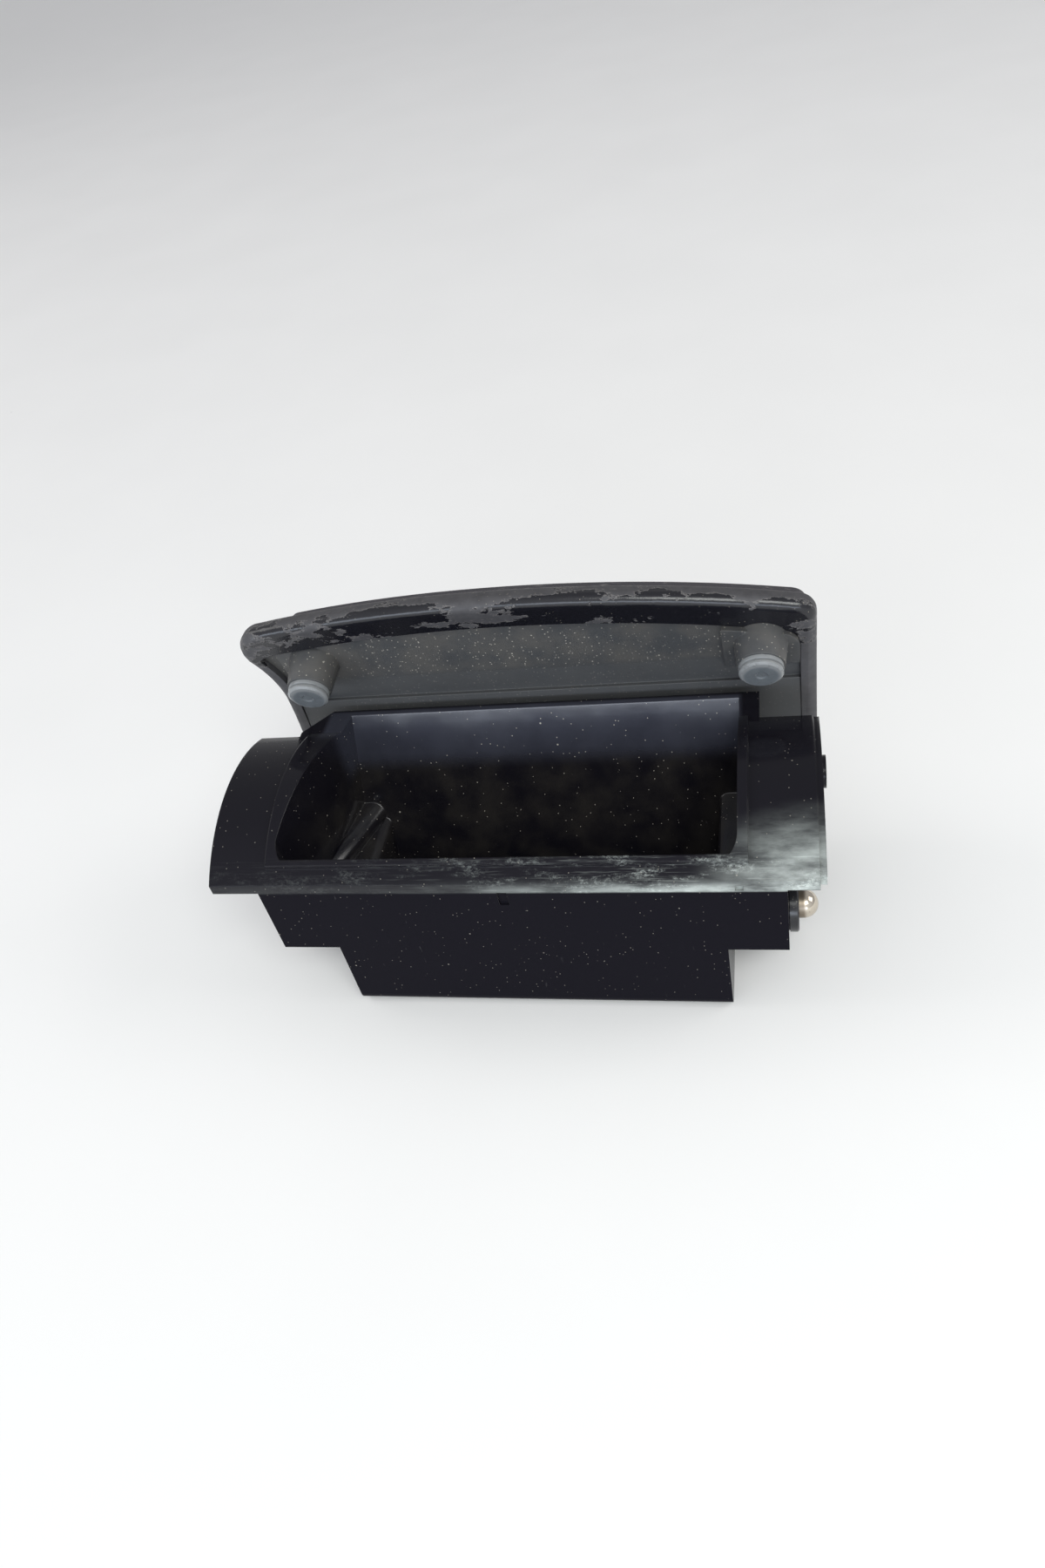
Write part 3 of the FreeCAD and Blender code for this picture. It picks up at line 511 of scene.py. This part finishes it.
dress(nodes["fascia_carrier"], matte_plastic())
dress(nodes["fascia_cover"], peeling_coat())
dress(nodes["fascia_facing"], facing_skin())
for side in ("left", "right"):
    skin = rubber("pale_rubber_" + side, *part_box("buffer_" + side))
    dress(nodes["buffer_" + side], skin)

metal = nickel()
dress(nodes["pivot_plunger"], metal)
dress(nodes["pivot_pin_left"], metal)
for side in ("right", "left"):
    dress(nodes["pivot_bush_" + side], nylon("black_bush_" + side, *BUSH_ROUGH))
dress(nodes["pivot_cap"], nylon("black_cap", *CAP_ROUGH))
dress(nodes["fascia_screws"], steel("dark_zinc", DARK_ZINC, 0.3))

spring = copied("pivot_spring", "pivot_coil_spring", "tray")
dress(spring, steel("spring_steel", SPRING_STEEL, 0.25))

for mesh in [spring.data] + [nodes[name].data for name in TURNED]:
    for polygon in mesh.polygons:
        polygon.use_smooth = True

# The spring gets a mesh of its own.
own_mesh(spring)


# ---------------------------------------------------------------- table and light

FLOOR_HALF = 4.0
FLOOR_DROP = 0.0003
floor_mesh = bpy.data.meshes.new("table")
floor_corners = [(-FLOOR_HALF, -FLOOR_HALF, 0.0), (FLOOR_HALF, -FLOOR_HALF, 0.0),
                 (FLOOR_HALF, FLOOR_HALF, 0.0), (-FLOOR_HALF, FLOOR_HALF, 0.0)]
floor_mesh.from_pydata(floor_corners, [], [(0, 1, 2, 3)])
floor = bpy.data.objects.new("table", floor_mesh)
floor.location.z = -FLOOR_DROP
scene.collection.objects.link(floor)
dress(floor, table_top())

OBJECT_MIDDLE = Vector((0.0, 0.0, 0.04))


def soft_light(name, place, size, power, tint):
    """A rectangular lamp of size metres that faces the object."""
    data = bpy.data.lights.new(name, "AREA")
    data.shape = "RECTANGLE"
    data.size, data.size_y = size
    data.energy = power
    data.color = tint
    lamp = bpy.data.objects.new(name, data)
    scene.collection.objects.link(lamp)
    lamp.location = place
    towards = OBJECT_MIDDLE - Vector(place)
    lamp.rotation_euler = towards.to_track_quat("-Z", "Y").to_euler()


DAYLIGHT = (0.78, 0.87, 1.0)
COOL_WHITE = (0.97, 1.0, 0.97)
WARM_WHITE = (1.0, 0.99, 0.97)
soft_light("front_window", (-0.35, -1.35, 0.22), (2.6, 0.36), 13.0, DAYLIGHT)
soft_light("key", (0.42, -0.72, 0.92), (0.62, 0.45), 6.5, COOL_WHITE)
soft_light("left_fill", (-1.5, 0.1, 1.1), (0.9, 0.9), 6.0, WARM_WHITE)
soft_light("right_fill", (1.5, 0.2, 1.1), (0.9, 0.9), 6.0, WARM_WHITE)

# The room is brighter in front of the object than behind it.
world = bpy.data.worlds.new("studio")
world.use_nodes = True
sky = world.node_tree
direction = sky.nodes.new("ShaderNodeTexCoord")
split = sky.nodes.new("ShaderNodeSeparateXYZ")
sky.links.new(direction.outputs["Generated"], split.inputs[0])
fade = sky.nodes.new("ShaderNodeMapRange")
for label, amount in (("From Min", -0.9), ("From Max", 0.1),
                      ("To Min", 0.90), ("To Max", 0.48)):
    fade.inputs[label].default_value = amount
sky.links.new(split.outputs["Y"], fade.inputs["Value"])
sky.links.new(fade.outputs["Result"], sky.nodes["Background"].inputs["Strength"])
sky.nodes["Background"].inputs["Color"].default_value = (0.96, 0.97, 1.0, 1.0)
scene.world = world

bpy.context.view_layer.update()
